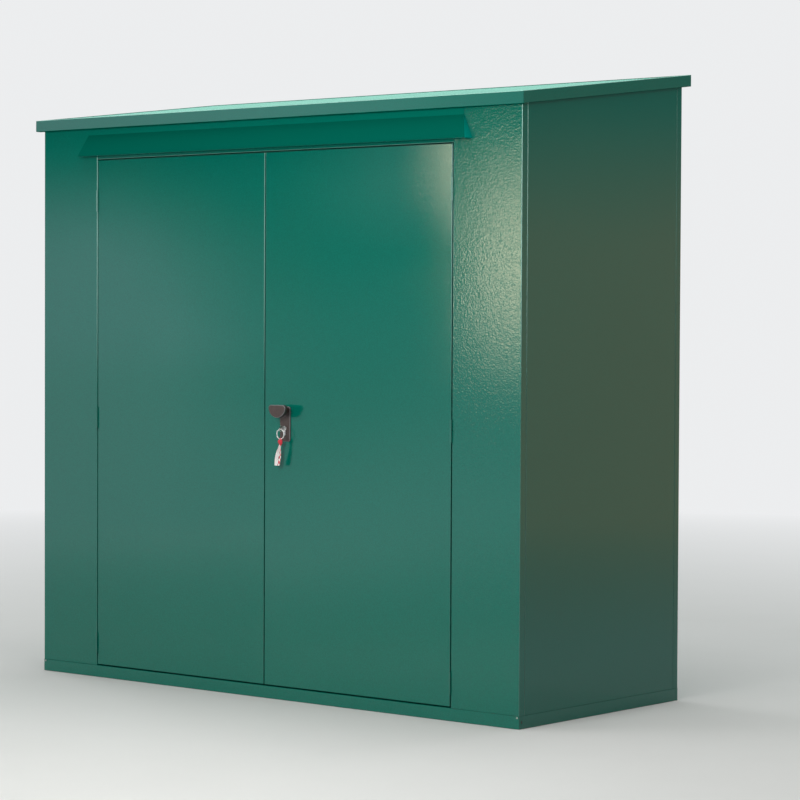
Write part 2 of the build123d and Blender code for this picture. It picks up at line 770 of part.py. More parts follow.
right_door_braces.part.label = "right_door_braces"
export_step(right_door_braces.part, "parts/right_door_braces.step")
left_frame_hinges.part.label = "left_frame_hinges"
export_step(left_frame_hinges.part, "parts/left_frame_hinges.step")
right_frame_hinges.part.label = "right_frame_hinges"
export_step(right_frame_hinges.part, "parts/right_frame_hinges.step")
left_door_hinges.part.label = "left_door_hinges"
export_step(left_door_hinges.part, "parts/left_door_hinges.step")
right_door_hinges.part.label = "right_door_hinges"
export_step(right_door_hinges.part, "parts/right_door_hinges.step")
lock_plate.part.label = "lock_plate"
export_step(lock_plate.part, "parts/lock_plate.step")
lock_cylinder.part.label = "lock_cylinder"
export_step(lock_cylinder.part, "parts/lock_cylinder.step")
lock_case.part.label = "lock_case"
export_step(lock_case.part, "parts/lock_case.step")
lock_rods.part.label = "lock_rods"
export_step(lock_rods.part, "parts/lock_rods.step")
t_handle.part.label = "t_handle"
export_step(t_handle.part, "parts/t_handle.step")
door_key.part.label = "door_key"
export_step(door_key.part, "parts/door_key.step")
key_ring.part.label = "key_ring"
export_step(key_ring.part, "parts/key_ring.step")
key_tag.part.label = "key_tag"
export_step(key_tag.part, "parts/key_tag.step")
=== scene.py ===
import math

import bmesh
import bpy
from bpy.props import FloatProperty, FloatVectorProperty, PointerProperty
from mathutils import Matrix, Vector


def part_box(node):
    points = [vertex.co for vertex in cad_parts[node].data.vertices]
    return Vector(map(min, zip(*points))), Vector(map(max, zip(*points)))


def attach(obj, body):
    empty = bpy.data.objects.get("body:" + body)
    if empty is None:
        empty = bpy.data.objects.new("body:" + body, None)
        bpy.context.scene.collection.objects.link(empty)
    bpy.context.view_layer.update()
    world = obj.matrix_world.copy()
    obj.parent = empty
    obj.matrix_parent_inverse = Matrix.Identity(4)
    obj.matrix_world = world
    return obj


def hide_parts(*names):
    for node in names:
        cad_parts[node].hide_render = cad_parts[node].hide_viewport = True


bl_info = {
    "name": "Tool Shed Dressing",
    "version": (1, 0, 0),
    "blender": (4, 5, 0),
    "location": "View3D > Sidebar > Tool Shed",
    "description": "Paint, bare metal, fittings and a studio stage for a pent-roof steel tool shed",
    "category": "Object",
}

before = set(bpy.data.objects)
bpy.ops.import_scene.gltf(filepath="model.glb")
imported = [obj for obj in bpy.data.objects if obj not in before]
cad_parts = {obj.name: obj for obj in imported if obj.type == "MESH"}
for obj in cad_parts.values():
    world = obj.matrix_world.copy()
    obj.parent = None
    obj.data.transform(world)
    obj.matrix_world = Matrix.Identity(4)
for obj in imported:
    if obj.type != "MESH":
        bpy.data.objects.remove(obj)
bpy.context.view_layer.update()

MM = 0.001
BLACK = (0.0, 0.0, 0.0)

# Camera, solved from the edges of the shed
PHOTO_PIXELS = 800
CAMERA_PIXELS = 2720.15
CAMERA_PLACE = (6.3108, -7.2960, 1.3046)
CAMERA_YAW = math.radians(-39.810)
CAMERA_PITCH = math.radians(-1.7242)
CAMERA_ROLL = math.radians(0.2601)
CAMERA_CLIP = (0.1, 300.0)
SENSOR_MM = 36.0

# Light of the world, and what the gloss of the paint mirrors: the backdrop's colour by shares, below and
# above a horizon that lies higher far to the left, in front of the shed and behind it
WORLD_LIGHT = 0.25
WORLD_TINT = (0.94, 0.97, 1.0)
FLOOR_BOUNCE = 0.42
FRONT_GLOSS_LOW = (1.28, 1.26, 1.50)
FRONT_GLOSS_HIGH = (0.0, 0.05, 0.05)
FRONT_FLOOR_GLOSS = (1.12, 1.12, 1.25)
FAR_FLOOR = (5.0, 40.0)
FAR_FLOOR_DIMMING = 0.55
FLOOR_FADE = (2.6, 9.0)
BACK_GLOSS_LOW = (0.95, 0.66, 0.42)
BACK_GLOSS_HIGH = (0.22, 0.55, 0.45)
FRONT_HORIZON = (-0.100, 0.054)
FAR_LEFT_HORIZON = (0.028, 0.056)
HORIZON_TURN = (-0.708, -0.664)
BACK_HORIZON = (0.030, 0.080)
LAMPS = (
    # name, place, aim, width, height, watts, colour, shows in gloss, soft edge
    ("key_lamp", (1.0, -3.2, 2.0), (0.7, -0.45, 1.6), 1.0, 1.4, 50.0, (1.0, 0.99, 0.96), False, False),
    ("left_key", (-6.0, -6.5, 1.9), (0.0, -0.45, 1.2), 1.4, 1.4, 160.0, (1.0, 0.99, 0.98), False, False),
    ("glint_lamp", (-4.10, -7.3, 1.70), (1.1, -0.45, 1.5), 0.75, 1.9, 52.0, (1.0, 0.88, 0.60), True, True),
    ("front_fill", (3.6, -9.0, 4.2), (0.2, -0.4, 0.8), 5.0, 3.5, 110.0, (1.0, 0.99, 0.97), True, False),
    ("right_strip", (4.4, -0.4, 3.0), (1.1, -0.1, 1.9), 1.4, 1.4, 24.0, (1.0, 0.98, 0.90), False, False),
    ("top_lamp", (0.0, -0.5, 7.0), (0.0, 0.0, 0.0), 5.0, 5.0, 220.0, (1.0, 1.0, 1.0), True, False),
    ("roof_card", (-5.6, 7.2, 3.35), (0.0, 0.0, 2.1), 6.0, 1.6, 17.0, (0.58, 1.0, 0.84), True, False),
    ("back_lamp", (0.5, 9.0, 4.8), (0.0, 0.4, 1.0), 4.0, 3.0, 240.0, (1.0, 1.0, 1.0), True, False),
    ("left_lamp", (-8.0, 1.5, 4.0), (-1.1, 0.0, 1.0), 3.0, 3.0, 150.0, (1.0, 1.0, 1.0), True, False),
)
LAMP_FADE = (0.5, 0.08)

# Sheets that aren't quite flat: lean at the left edge, then lean and turn at the upper right corner
LEFT_DOOR_LEAN = (0.002, 0.005, 0.0)
RIGHT_DOOR_LEAN = (0.012, -0.058, 0.013)
FASCIA_LEAN = (-0.045, -0.065, -0.045)
LEAN_LEVELS = (1.52, 1.74)

# Powder coat: waviness of the sheet, cells per metre and depth of its peel, and the painted highlight along
# the folds (painted shade along the folds of the base)
SHEET_WAVE = 0.6 * MM
TRIM_WAVE = 1.0 * MM
ROOF_WAVE = 2.0 * MM
WAVE_CELLS = 1.9
PEEL_CELLS = 230.0
PEEL_DEPTH = 0.05 * MM
SPRAY_CELLS = 180.0
SPRAY_DEPTH = 0.24 * MM
DOOR_PEEL_DEPTH = 0.12 * MM
POLISH_SPAN = (-0.015, 0.025)
PAINT_IOR = 1.5
BASE_ROUGHER = 0.10
TRIM_ROUGHER = 0.08
# Painted highlight: the fold colour of the side walls and front panels is made this much lighter
FOLD_HIGHLIGHT_BOOST = 1.4
# Metallic share of the folds, so that the painted highlight colour there shines like metal
FOLD_HIGHLIGHT_METALLIC = 0.25
FOLD_NORMAL = (0.985, 0.90)
# Painted highlight: the fold colour is taken at 8 % below 1.05 m and in full above 1.6 m, so the lighter
# folds fade towards the bottom
PAINTED_FOLD_LIGHT_LEVELS = (1.05, 1.6, 0.08, 1.0)
# Painted light: the flared ends of the hood are painted this much lighter per channel, as if lit from the
# upper right
HOOD_END_LIGHT = (1.0, 2.1, 2.4)
HOOD_GLOSS = 0.25

BLOOM = (0.55, 0.56, 0.56)
# Painted highlight along the bevels of the lock plate and handle
BEVEL_HIGHLIGHT = (0.20, 0.20, 0.21)
# Painted shade: near-black tones of the piece that stands in for the unlit inside of a slot
HOLLOW_SHADE = ((0.002, 0.004, 0.003), (0.006, 0.010, 0.008))
# Painted highlight: a near-white, barely metallic ring stands in for the glints on the key ring
RING_GLINT_WHITE = (0.98, 0.98, 0.97)
FLECK_CELLS = 115.0

# Small fittings. The screw's profile gives shares of its radius and heights in mm; the rim and the hollow
# of a slot give growth all round and height above the rail, both in mm
SCREW_DROP = 6.0 * MM
SCREW_PROFILE = ((0.96, -0.3), (1.0, 0.2), (0.93, 0.9), (0.62, 1.5), (0.30, 1.6), (0.26, 0.8))
SLOT_DROP = 15.0 * MM
SLOT_INSET = 14.0 * MM
SLOT_HALF_SHARE = 0.30
SLOT_RIM = ((1.2, -0.2), (1.0, 0.3), (0.3, 0.5), (0.0, 0.2))
SLOT_HOLLOW = ((0.2, -0.3), (0.2, 0.15))
PLUG_SHARE = 0.74
KEY_HOLE_OFFSET = 5.0 * MM
KEY_HOLE_RADIUS = 3.4 * MM
KEY_NECK_HALF = 3.5 * MM
KEY_STEPS = 96
KEY_DISH = 0.35 * MM
KEY_LIP = 0.4 * MM
KEY_RIM = 0.3 * MM
RING_TURNS = 2.12
RING_START = math.radians(200)
RING_STEPS = 220
RING_SIDES = 10
RING_SWAP = 9.0

# Key strap: a loop round the ring's wire, a gathered knot and two runs of ribbon
STRAP_KNOT = 20.0 * MM
STRAP_GAP = 0.5 * MM
STRAP_FOOT = 0.8 * MM
LOOP_RADIUS = 2.8 * MM
LOOP_WIDTH = 8.5 * MM
LOOP_RISE = 1.2 * MM
LOOP_STEPS = 36
RUN_STEPS = 44
RUN_TUCK = 3.0 * MM
RUN_SPREAD = 3.2 * MM
RUN_LEAD = 1.6 * MM
FRONT_SWAY = -19.0 * MM
BACK_SWAY = -12.0 * MM
BACK_TWIST = -0.7
RIBBON_THICKNESS = 0.9 * MM
RIBBON_BOW = 0.10
RIBBON_SECTION = (
    (-1, 0), (-0.94, 1), (-0.5, 1), (0, 1), (0.5, 1), (0.94, 1), (1, 0),
    (0.94, -1), (0.5, -1), (0, -1), (-0.5, -1), (-0.94, -1),
)
KNOT_ROWS = 14
KNOT_SIDES = 28

WALL_NODES = ("left_wall_panel", "right_wall_panel")
BACK_NODES = ("back_left_panel", "back_centre_panel", "back_right_panel")
BASE_NODES = ("base_front_rail", "base_back_rail", "base_left_rail", "base_right_rail")
ROOF_NODES = ("roof_tray_left", "roof_tray_centre", "roof_tray_right")
TRIM_NODES = ("back_fascia", "left_fascia", "right_fascia")
LEFT_DOOR_NODES = ("left_door", "left_door_braces")
RIGHT_DOOR_NODES = ("right_door", "right_door_braces")
HINGE_NODES = ("left_frame_hinges", "right_frame_hinges", "left_door_hinges", "right_door_hinges")
ZINC_NODES = (
    "floor_tray_left", "floor_tray_centre", "floor_tray_right", "floor_bearer", "lock_case", "lock_rods",
)
LOCK_NODES = ("lock_plate", "t_handle")
KEY_NODES = ("lock_cylinder", "door_key", "key_ring")


def rgba(colour):
    """Colour with full alpha, as sockets take it."""
    return (colour[0], colour[1], colour[2], 1.0)


def tint(colour, shares):
    """Colour with each channel taken by its own share."""
    return [part * share for part, share in zip(colour, shares)]


def shade(colour, share):
    """Colour with every channel taken by one share."""
    return tint(colour, (share, share, share))


class Wiring:
    """A node tree under construction; values pass from node to node as output sockets."""

    def __init__(self, tree):
        self.tree = tree

    def node(self, kind, **values):
        """New node with some of its settings."""
        made = self.tree.nodes.new(kind)
        for key, value in values.items():
            setattr(made, key, value)
        return made

    def feed(self, socket, value):
        """Links an output to a socket, or sets a number or a colour on it."""
        if isinstance(value, bpy.types.NodeSocket):
            self.tree.links.new(value, socket)
        elif socket.type == "RGBA":
            socket.default_value = rgba(value)
        else:
            socket.default_value = value

    def fill(self, node, **inputs):
        """Feeds a node's inputs by name, with _ for each space."""
        for key, value in inputs.items():
            self.feed(node.inputs[key.replace("_", " ")], value)
        return node

    def axes(self, vector):
        """X, Y and Z of a vector."""
        made = self.node("ShaderNodeSeparateXYZ")
        self.feed(made.inputs[0], vector)
        return made.outputs

    def ramp(self, value, low, high, to_low=0.0, to_high=1.0, style="LINEAR"):
        """Reading of a value between two limits, held beyond them."""
        made = self.node("ShaderNodeMapRange", clamp=True, interpolation_type=style)
        self.fill(made, Value=value, From_Min=low, From_Max=high, To_Min=to_low, To_Max=to_high)
        return made.outputs[0]

    def math(self, operation, *parts):
        made = self.node("ShaderNodeMath", operation=operation)
        for socket, part in zip(made.inputs, parts):
            self.feed(socket, part)
        return made.outputs[0]

    def times(self, first, second):
        return self.math("MULTIPLY", first, second)

    def vector_math(self, operation, *parts):
        made = self.node("ShaderNodeVectorMath", operation=operation)
        for socket, part in zip(made.inputs, parts):
            self.feed(socket, part)
        return made.outputs["Value" if operation == "LENGTH" else "Vector"]

    def mix(self, factor, first, second):
        """Mix of two colours."""
        made = self.node("ShaderNodeMix", data_type="RGBA")
        for index, value in ((0, factor), (6, first), (7, second)):
            self.feed(made.inputs[index], value)
        return made.outputs[2]

    def blend(self, factor, first, second):
        """Mix of two shaders."""
        made = self.node("ShaderNodeMixShader")
        for socket, value in zip(made.inputs, (factor, first, second)):
            self.feed(socket, value)
        return made.outputs[0]


class Recipe(Wiring):
    """A node material under construction, with one Principled shader."""

    def __init__(self, name):
        self.material = bpy.data.materials.new(name)
        self.material.use_nodes = True
        super().__init__(self.material.node_tree)
        self.tree.nodes.clear()
        self.shader = self.node("ShaderNodeBsdfPrincipled")
        self.output = self.node("ShaderNodeOutputMaterial")
        self.fill(self.output, Surface=self.shader.outputs[0])
        coordinates = self.node("ShaderNodeTexCoord").outputs
        self.spot = coordinates["Object"]
        self.facing = coordinates["Normal"]

    def finish(self, **inputs):
        """Feeds the shader and hands the material over."""
        self.fill(self.shader, **inputs)
        return self.material

    def noise(self, scale, detail=2.0, roughness=0.5, stretch=(1.0, 1.0, 1.0)):
        """Noise over the object's own coordinates, in cells per metre."""
        mapping = self.fill(self.node("ShaderNodeMapping"), Vector=self.spot, Scale=stretch)
        made = self.node("ShaderNodeTexNoise")
        self.fill(made, Vector=mapping.outputs[0], Scale=scale, Detail=detail, Roughness=roughness)
        return made.outputs["Fac"]

    def spread(self, noise, to_low=0.0, to_high=1.0):
        """Noise read over its usual span."""
        return self.ramp(noise, 0.3, 0.7, to_low, to_high)

    def polish(self, roughness):
        """Roughness of sprayed paint, a little uneven."""
        low, high = POLISH_SPAN
        return self.spread(self.noise(5.0, detail=4.0, roughness=0.6), roughness + low, roughness + high)

    def fold_mask(self):
        """1 on the rounded folds of the sheet and 0 on its flats, from the normal in the piece's own axes."""
        facing = self.axes(self.facing)
        sizes = [self.math("ABSOLUTE", facing[axis]) for axis in "XYZ"]
        largest = self.math("MAXIMUM", self.math("MAXIMUM", sizes[0], sizes[1]), sizes[2])
        return self.ramp(largest, *FOLD_NORMAL)

    def bump(self, height, distance, strength=1.0, under=None):
        """Normal raised by a height; another bump may lie under it."""
        made = self.node("ShaderNodeBump")
        self.fill(made, Height=height, Distance=distance, Strength=strength)
        if under is not None:
            self.fill(made, Normal=under)
        return made.outputs["Normal"]

    def lean(self, first, last, turn, start, end):
        """Normal of a sheet that isn't quite flat: small angles at x = start and at the top of x = end."""
        spot = self.axes(self.spot)
        upper = self.ramp(spot["Z"], *LEAN_LEVELS)
        near = self.ramp(spot["X"], start, end, first, 0.0)
        far, aside = [
            self.times(self.ramp(spot["X"], start, end, 0.0, angle), upper) for angle in (last, turn)
        ]
        tilt = self.fill(self.node("ShaderNodeCombineXYZ"), X=aside, Z=self.math("ADD", near, far))
        outward = self.node(
            "ShaderNodeVectorTransform", vector_type="VECTOR", convert_from="OBJECT", convert_to="WORLD",
        )
        self.fill(outward, Vector=tilt.outputs[0])
        surface = self.node("ShaderNodeNewGeometry").outputs["Normal"]
        return self.vector_math("NORMALIZE", self.vector_math("ADD", surface, outward.outputs[0]))


def powder_coat(
    name, colour, roughness, waviness, edge, edge_share, gloss=0.5, polished=True, upper_folds=False,
    dull_returns=False, lean=None, peel=(PEEL_CELLS, PEEL_DEPTH),
):
    """Sprayed gloss paint: orange peel, broad sheet waviness, and a light colour painted along the folds as a
    highlight that fades towards the bottom; with a dark fold colour, as on the base, it paints shade there
    instead.
    """
    make = Recipe(name)
    facing, spot = make.axes(make.facing), make.axes(make.spot)
    mottle = make.spread(make.noise(1.6, detail=3.0))
    grain = make.spread(make.noise(330.0, detail=1.0))
    skin_tone = make.mix(
        0.5,
        make.mix(mottle, shade(colour, 0.96), shade(colour, 1.04)),
        make.mix(grain, shade(colour, 0.78), shade(colour, 1.22)),
    )
    # Painted highlight along the folds (painted shade on the base), fading towards the bottom
    fold = make.times(make.fold_mask(), make.ramp(spot["Z"], *PAINTED_FOLD_LIGHT_LEVELS))
    fold = make.times(fold, edge_share)
    shine = gloss
    # Only folds that face up keep the painted highlight, and faces turned down lose their gloss
    if upper_folds:
        fold = make.times(fold, make.ramp(facing["Z"], 0.0, 0.25))
        shine = make.ramp(facing["Z"], -0.30, -0.05, 0.0, gloss)
    if dull_returns:
        front = make.math("ABSOLUTE", facing["Y"])
        from_middle = make.math("ABSOLUTE", spot["X"])
        shine = make.math(
            "MAXIMUM",
            make.ramp(front, 0.15, 0.55, 0.0, gloss),
            make.ramp(from_middle, 1.00, 1.02, 0.0, gloss),
        )
    cells, depth = peel
    sheet = make.lean(*lean) if lean else None
    wave = make.bump(make.noise(WAVE_CELLS, detail=1.0, roughness=0.4), waviness, under=sheet)
    skin = make.bump(make.noise(cells, detail=1.0), depth, under=wave)
    return make.finish(
        Base_Color=make.mix(fold, skin_tone, edge),
        Metallic=make.times(fold, FOLD_HIGHLIGHT_METALLIC) if polished else 0.0,
        Roughness=make.polish(roughness), Normal=skin, IOR=PAINT_IOR, Specular_IOR_Level=shine,
    )


def hood_coat(name, upright, slope, ends, roughness):
    """Paint of the rain hood: its slope is painted darker as painted shade, its flared ends lighter as
    painted light, and its upright edge keeps the plain paint.
    """
    make = Recipe(name)
    facing = make.axes(make.facing)
    flared = make.ramp(make.math("ABSOLUTE", facing["X"]), 0.30, 0.60)
    tone = make.mix(make.ramp(facing["Z"], 0.05, 0.30), upright, slope)
    return make.finish(
        Base_Color=make.mix(flared, tone, ends), Roughness=make.polish(roughness),
        Normal=make.bump(make.noise(PEEL_CELLS, detail=1.0), PEEL_DEPTH),
        IOR=PAINT_IOR, Specular_IOR_Level=HOOD_GLOSS,
    )


def galvanised(name, colour):
    """Hot-dip zinc: metal with large soft spangles and a little white bloom."""
    make = Recipe(name)
    spangle = make.node("ShaderNodeTexVoronoi", feature="F1")
    make.fill(spangle, Vector=make.spot, Scale=95.0, Randomness=1.0)
    grain = make.fill(make.node("ShaderNodeSeparateColor"), Color=spangle.outputs["Color"]).outputs
    light = [min(1.0, value * 1.12) for value in colour]
    tone = make.mix(make.ramp(grain["Red"], 0.0, 1.0), shade(colour, 0.80), light)
    bloom = make.ramp(make.noise(7.0, detail=5.0, roughness=0.65), 0.5, 0.8, 0.0, 0.45)
    return make.finish(
        Base_Color=make.mix(bloom, tone, BLOOM), Metallic=1.0,
        Roughness=make.ramp(grain["Green"], 0.0, 1.0, 0.34, 0.52),
        Normal=make.bump(grain["Blue"], 0.06 * MM, strength=0.5),
    )


def lock_coat(name, colour):
    """Fine textured brown-grey coating of the lock plate and handle, a little lighter and darker in places,
    with a lighter colour painted along its bevels as a highlight.
    """
    make = Recipe(name)
    rub = make.noise(60.0, detail=4.0, roughness=0.6)
    tone = make.mix(make.ramp(rub, 0.35, 0.75), shade(colour, 0.85), shade(colour, 1.25))
    front = make.math("ABSOLUTE", make.axes(make.facing)["Y"])
    # Bevels, turned part-way from the front, take the painted highlight colour
    bevel = make.times(make.ramp(front, 0.98, 0.88), make.ramp(front, 0.30, 0.55))
    grain = make.noise(1400.0, detail=2.0, roughness=0.6)
    return make.finish(
        Base_Color=make.mix(bevel, tone, BEVEL_HIGHLIGHT), Metallic=0.0, IOR=PAINT_IOR,
        Roughness=make.spread(rub, 0.36, 0.50), Normal=make.bump(grain, 0.08 * MM, strength=0.6),
    )


def hollow_black(name):
    """Unlit inside of a hollow."""
    make = Recipe(name)
    return make.finish(Base_Color=make.mix(make.spread(make.noise(90.0)), *HOLLOW_SHADE), Roughness=0.9)


def bright_metal(name, colour, roughness, metallic=1.0):
    """Nickelled steel with fine scratches."""
    make = Recipe(name)
    wear = make.noise(220.0, detail=3.0, roughness=0.6, stretch=(1.0, 1.0, 5.0))
    return make.finish(
        Base_Color=make.mix(make.spread(wear), shade(colour, 0.85), colour), Metallic=metallic,
        Roughness=make.spread(wear, roughness - 0.06, roughness + 0.1),
        Normal=make.bump(wear, 0.02 * MM, strength=0.5),
    )


def webbing(name, colour, flecks=None):
    """Woven strap: ribs across its length over a coarse thread bump, with small blocks of a second colour."""
    make = Recipe(name)
    weave = make.node("ShaderNodeTexWave", wave_type="BANDS", bands_direction="Z", wave_profile="SIN")
    make.fill(weave, Vector=make.spot, Scale=320.0, Distortion=0.6, Detail=1.0)
    thread = make.noise(900.0, detail=2.0, roughness=0.6)
    tone = make.mix(make.spread(make.noise(60.0, detail=3.0, roughness=0.6)), shade(colour, 0.88), colour)
    if flecks:
        blocks = make.fill(make.node("ShaderNodeTexChecker"), Vector=make.spot, Scale=FLECK_CELLS)
        tone = make.mix(blocks.outputs["Fac"], tone, flecks)
    fuzz = make.bump(thread, 0.2 * MM, strength=0.4)
    return make.finish(
        Base_Color=tone, Roughness=make.spread(thread, 0.72, 0.88),
        Normal=make.bump(weave.outputs["Fac"], 0.3 * MM, strength=0.7, under=fuzz),
    )


def dress(names, material):
    """Gives each named CAD node one material in all its slots."""
    for name in names:
        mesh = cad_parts[name].data
        if not mesh.materials:
            mesh.materials.append(material)
        for index in range(len(mesh.materials)):
            mesh.materials[index] = material


def piece_from(name, mesh_builder, material, body, smooth_angle=35.0):
    """Finished piece: a mesh in the frame's coordinates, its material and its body."""
    mesh = bpy.data.meshes.new(name)
    builder = bmesh.new()
    mesh_builder(builder)
    bmesh.ops.recalc_face_normals(builder, faces=builder.faces)
    builder.to_mesh(mesh)
    builder.free()
    made = bpy.data.objects.new(name, mesh)
    bpy.context.scene.collection.objects.link(made)
    mesh.materials.append(material)
    for polygon in mesh.polygons:
        polygon.use_smooth = True
    mesh.set_sharp_from_angle(angle=math.radians(smooth_angle))
    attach(made, body)
    return made


def angles(steps):
    """Even steps round a full turn."""
    return [2 * math.pi * index / steps for index in range(steps)]


def rings_to_mesh(builder, rings, close_ends=True):
    """Skins a row of closed rings of points, each with as many points as the next."""
    rows = [[builder.verts.new(point) for point in ring] for ring in rings]
    for lower, upper in zip(rows, rows[1:]):
        count = len(lower)
        for index in range(count):
            after = (index + 1) % count
            builder.faces.new((lower[index], lower[after], upper[after], upper[index]))
    if close_ends:
        builder.faces.new(rows[0])
        builder.faces.new(list(reversed(rows[-1])))


def turned(builder, profile, centre, steps=28):
    """Skins a profile of (radius, height) pairs turned round an axis that comes out of the front."""
    place = Matrix.Translation(centre) @ Matrix.Rotation(math.radians(90), 4, "X")
    rings_to_mesh(builder, [
        [
            place @ Vector((radius * math.cos(angle), radius * math.sin(angle), height))
            for angle in angles(steps)
        ]
        for radius, height in profile
    ])


class ShedSizes(bpy.types.PropertyGroup):
    """Sizes of the small fittings and of the stage."""

    screw_head: FloatProperty(
        name="Screw head", description="Diameter of a base screw's head", default=0.0065,
        min=0.003, max=0.02, unit="LENGTH",
    )
    screw_inset: FloatProperty(
        name="Screw inset", description="Screw centre from the corner of the base", default=0.0075,
        min=0.005, max=0.1, unit="LENGTH",
    )
    slot_height: FloatProperty(
        name="Base slot", description="Height of the fixing slot in a side rail", default=0.010,
        min=0.004, max=0.03, unit="LENGTH",
    )
    ring_wire: FloatProperty(
        name="Ring wire", description="Half thickness of the key ring's wire", default=0.0011,
        min=0.0005, max=0.004, unit="LENGTH",
    )
    ribbon_width: FloatProperty(
        name="Ribbon width", description="Width of the ribbon of the key strap", default=0.0125,
        min=0.004, max=0.03, unit="LENGTH",
    )
    ribbon_twist: FloatProperty(
        name="Ribbon twist", description="Turn of each ribbon run between knot and end",
        default=math.radians(70), min=0.0, max=math.pi, subtype="ANGLE",
    )
    floor_reach: FloatProperty(
        name="Floor reach", description="Half width of the floor", default=60.0, min=5.0, max=200.0,
        unit="LENGTH",
    )
    paint_gloss: FloatProperty(
        name="Paint roughness", description="Roughness of the powder coat", default=0.055,
        min=0.02, max=0.9, subtype="FACTOR",
    )


class ShedColours(bpy.types.PropertyGroup):
    """Colours of the finishes, as linear values."""

    paint: FloatVectorProperty(
        name="Paint", description="Powder coat of the walls, doors and roof", default=(0.0005, 0.136, 0.098),
        size=3, min=0.0, max=1.0, subtype="COLOR",
    )
    # Painted shade: the hood's slope is painted darker than the walls, standing in for the shade it hangs in
    hood_shade_paint: FloatVectorProperty(
        name="Hood paint", description="Deeper coat of the rain hood", default=(0.0005, 0.100, 0.070),
        size=3, min=0.0, max=1.0, subtype="COLOR",
    )
    # Painted highlight: this light colour along the folds stands in for light caught on the bends
    edge: FloatVectorProperty(
        name="Edge", description="Thin, light-catching paint along the folds", default=(0.42, 0.70, 0.64),
        size=3, min=0.0, max=1.0, subtype="COLOR",
    )
    # Painted shade: this dark colour along the folds of the base stands in for the shadow in its seams
    seam_shade: FloatVectorProperty(
        name="Grime", description="Dirt held along the folds of the base", default=(0.003, 0.045, 0.034),
        size=3, min=0.0, max=1.0, subtype="COLOR",
    )
    zinc: FloatVectorProperty(
        name="Zinc", description="Galvanised floor and lock parts", default=(0.50, 0.51, 0.52),
        size=3, min=0.0, max=1.0, subtype="COLOR",
    )
    lock: FloatVectorProperty(
        name="Lock", description="Lock plate and handle", default=(0.064, 0.045, 0.042),
        size=3, min=0.0, max=1.0, subtype="COLOR",
    )
    steel: FloatVectorProperty(
        name="Steel", description="Key, cylinder and screws", default=(0.86, 0.85, 0.82),
        size=3, min=0.0, max=1.0, subtype="COLOR",
    )
    strap_red: FloatVectorProperty(
        name="Strap red", description="Red of the strap", default=(0.70, 0.055, 0.075),
        size=3, min=0.0, max=1.0, subtype="COLOR",
    )
    strap_white: FloatVectorProperty(
        name="Strap white", description="White of the strap", default=(0.92, 0.90, 0.88),
        size=3, min=0.0, max=1.0, subtype="COLOR",
    )
    backdrop: FloatVectorProperty(
        name="Backdrop", description="Pale ground far behind the shed", default=(0.84, 0.85, 0.86),
        size=3, min=0.0, max=1.0, subtype="COLOR",
    )
    floor: FloatVectorProperty(
        name="Floor", description="Studio floor", default=(0.62, 0.62, 0.61),
        size=3, min=0.0, max=1.0, subtype="COLOR",
    )


class PaintShed(bpy.types.Operator):
    """Powder coat on the walls, base, roof, trims, hood, doors and hinges"""

    bl_idname = "tool_shed.paint_shed"
    bl_label = "Paint the Shed"

    def execute(self, context):
        colours = context.scene.shed_colours
        rough = context.scene.shed_sizes.paint_gloss
        paint, edge = colours.paint, colours.edge
        # Side walls and front panels get a lighter painted highlight along their folds
        brighter_fold_highlight = [min(1.0, value * FOLD_HIGHLIGHT_BOOST) for value in edge]
        dull = {"dull_returns": True}
        sprayed = {"dull_returns": True, "peel": (SPRAY_CELLS, SPRAY_DEPTH)}
        fascia = {"upper_folds": True, "lean": self.lean_over("front_fascia", FASCIA_LEAN)}
        left = {"dull_returns": True, "lean": self.lean_over("left_door", LEFT_DOOR_LEAN)}
        right = {
            "dull_returns": True, "lean": self.lean_over("right_door", RIGHT_DOOR_LEAN),
            "peel": (PEEL_CELLS, DOOR_PEEL_DEPTH),
        }
        coats = (
            # coat, nodes, roughness, waviness, fold colour (a painted highlight; on the base, painted shade)
            # and its share, other settings
            ("wall", WALL_NODES, rough, SHEET_WAVE, brighter_fold_highlight, 1.0, {}),
            ("back", BACK_NODES, rough, SHEET_WAVE, edge, 0.3, {}),
            ("front", ("front_left_panel",), rough, SHEET_WAVE, brighter_fold_highlight, 1.0, dull),
            ("header", ("header_panel",), rough, SHEET_WAVE, edge, 0.25, dull),
            ("sprayed", ("front_right_panel",), rough, SHEET_WAVE, brighter_fold_highlight, 1.0, sprayed),
            # The base's folds take the painted seam shade
            ("base", BASE_NODES, rough + BASE_ROUGHER, TRIM_WAVE, colours.seam_shade, 5.0,
             {"gloss": 0.55, "polished": False}),
            ("roof", ROOF_NODES, rough + TRIM_ROUGHER, ROOF_WAVE, edge, 0.9, {}),
            ("trim", TRIM_NODES, rough + TRIM_ROUGHER, TRIM_WAVE, edge, 0.9, {"upper_folds": True}),
            ("front_trim", ("front_fascia",), rough, TRIM_WAVE, edge, 0.9, fascia),
            ("left_door", LEFT_DOOR_NODES, rough, SHEET_WAVE, edge, 0.9, left),
            ("right_door", RIGHT_DOOR_NODES, rough, SHEET_WAVE, edge, 0.9, right),
            ("hinge", HINGE_NODES, rough, 0.0, edge, 0.9, {}),
        )
        for coat, nodes, roughness, waviness, tone, share, others in coats:
            dress(nodes, powder_coat(
                coat + "_powder_coat", paint, roughness, waviness, tone, share, **others,
            ))
        # Flared ends painted lighter (painted light); the slope takes the darker painted-shade paint
        ends = tint(paint, HOOD_END_LIGHT)
        dress(("rain_hood",), hood_coat("hood_powder_coat", paint, colours.hood_shade_paint, ends, rough))
        return {"FINISHED"}

    def lean_over(self, name, lean):
        """A lean with the two edges of the sheet that it runs between."""
        low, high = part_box(name)
        return lean + (low.x, high.x)


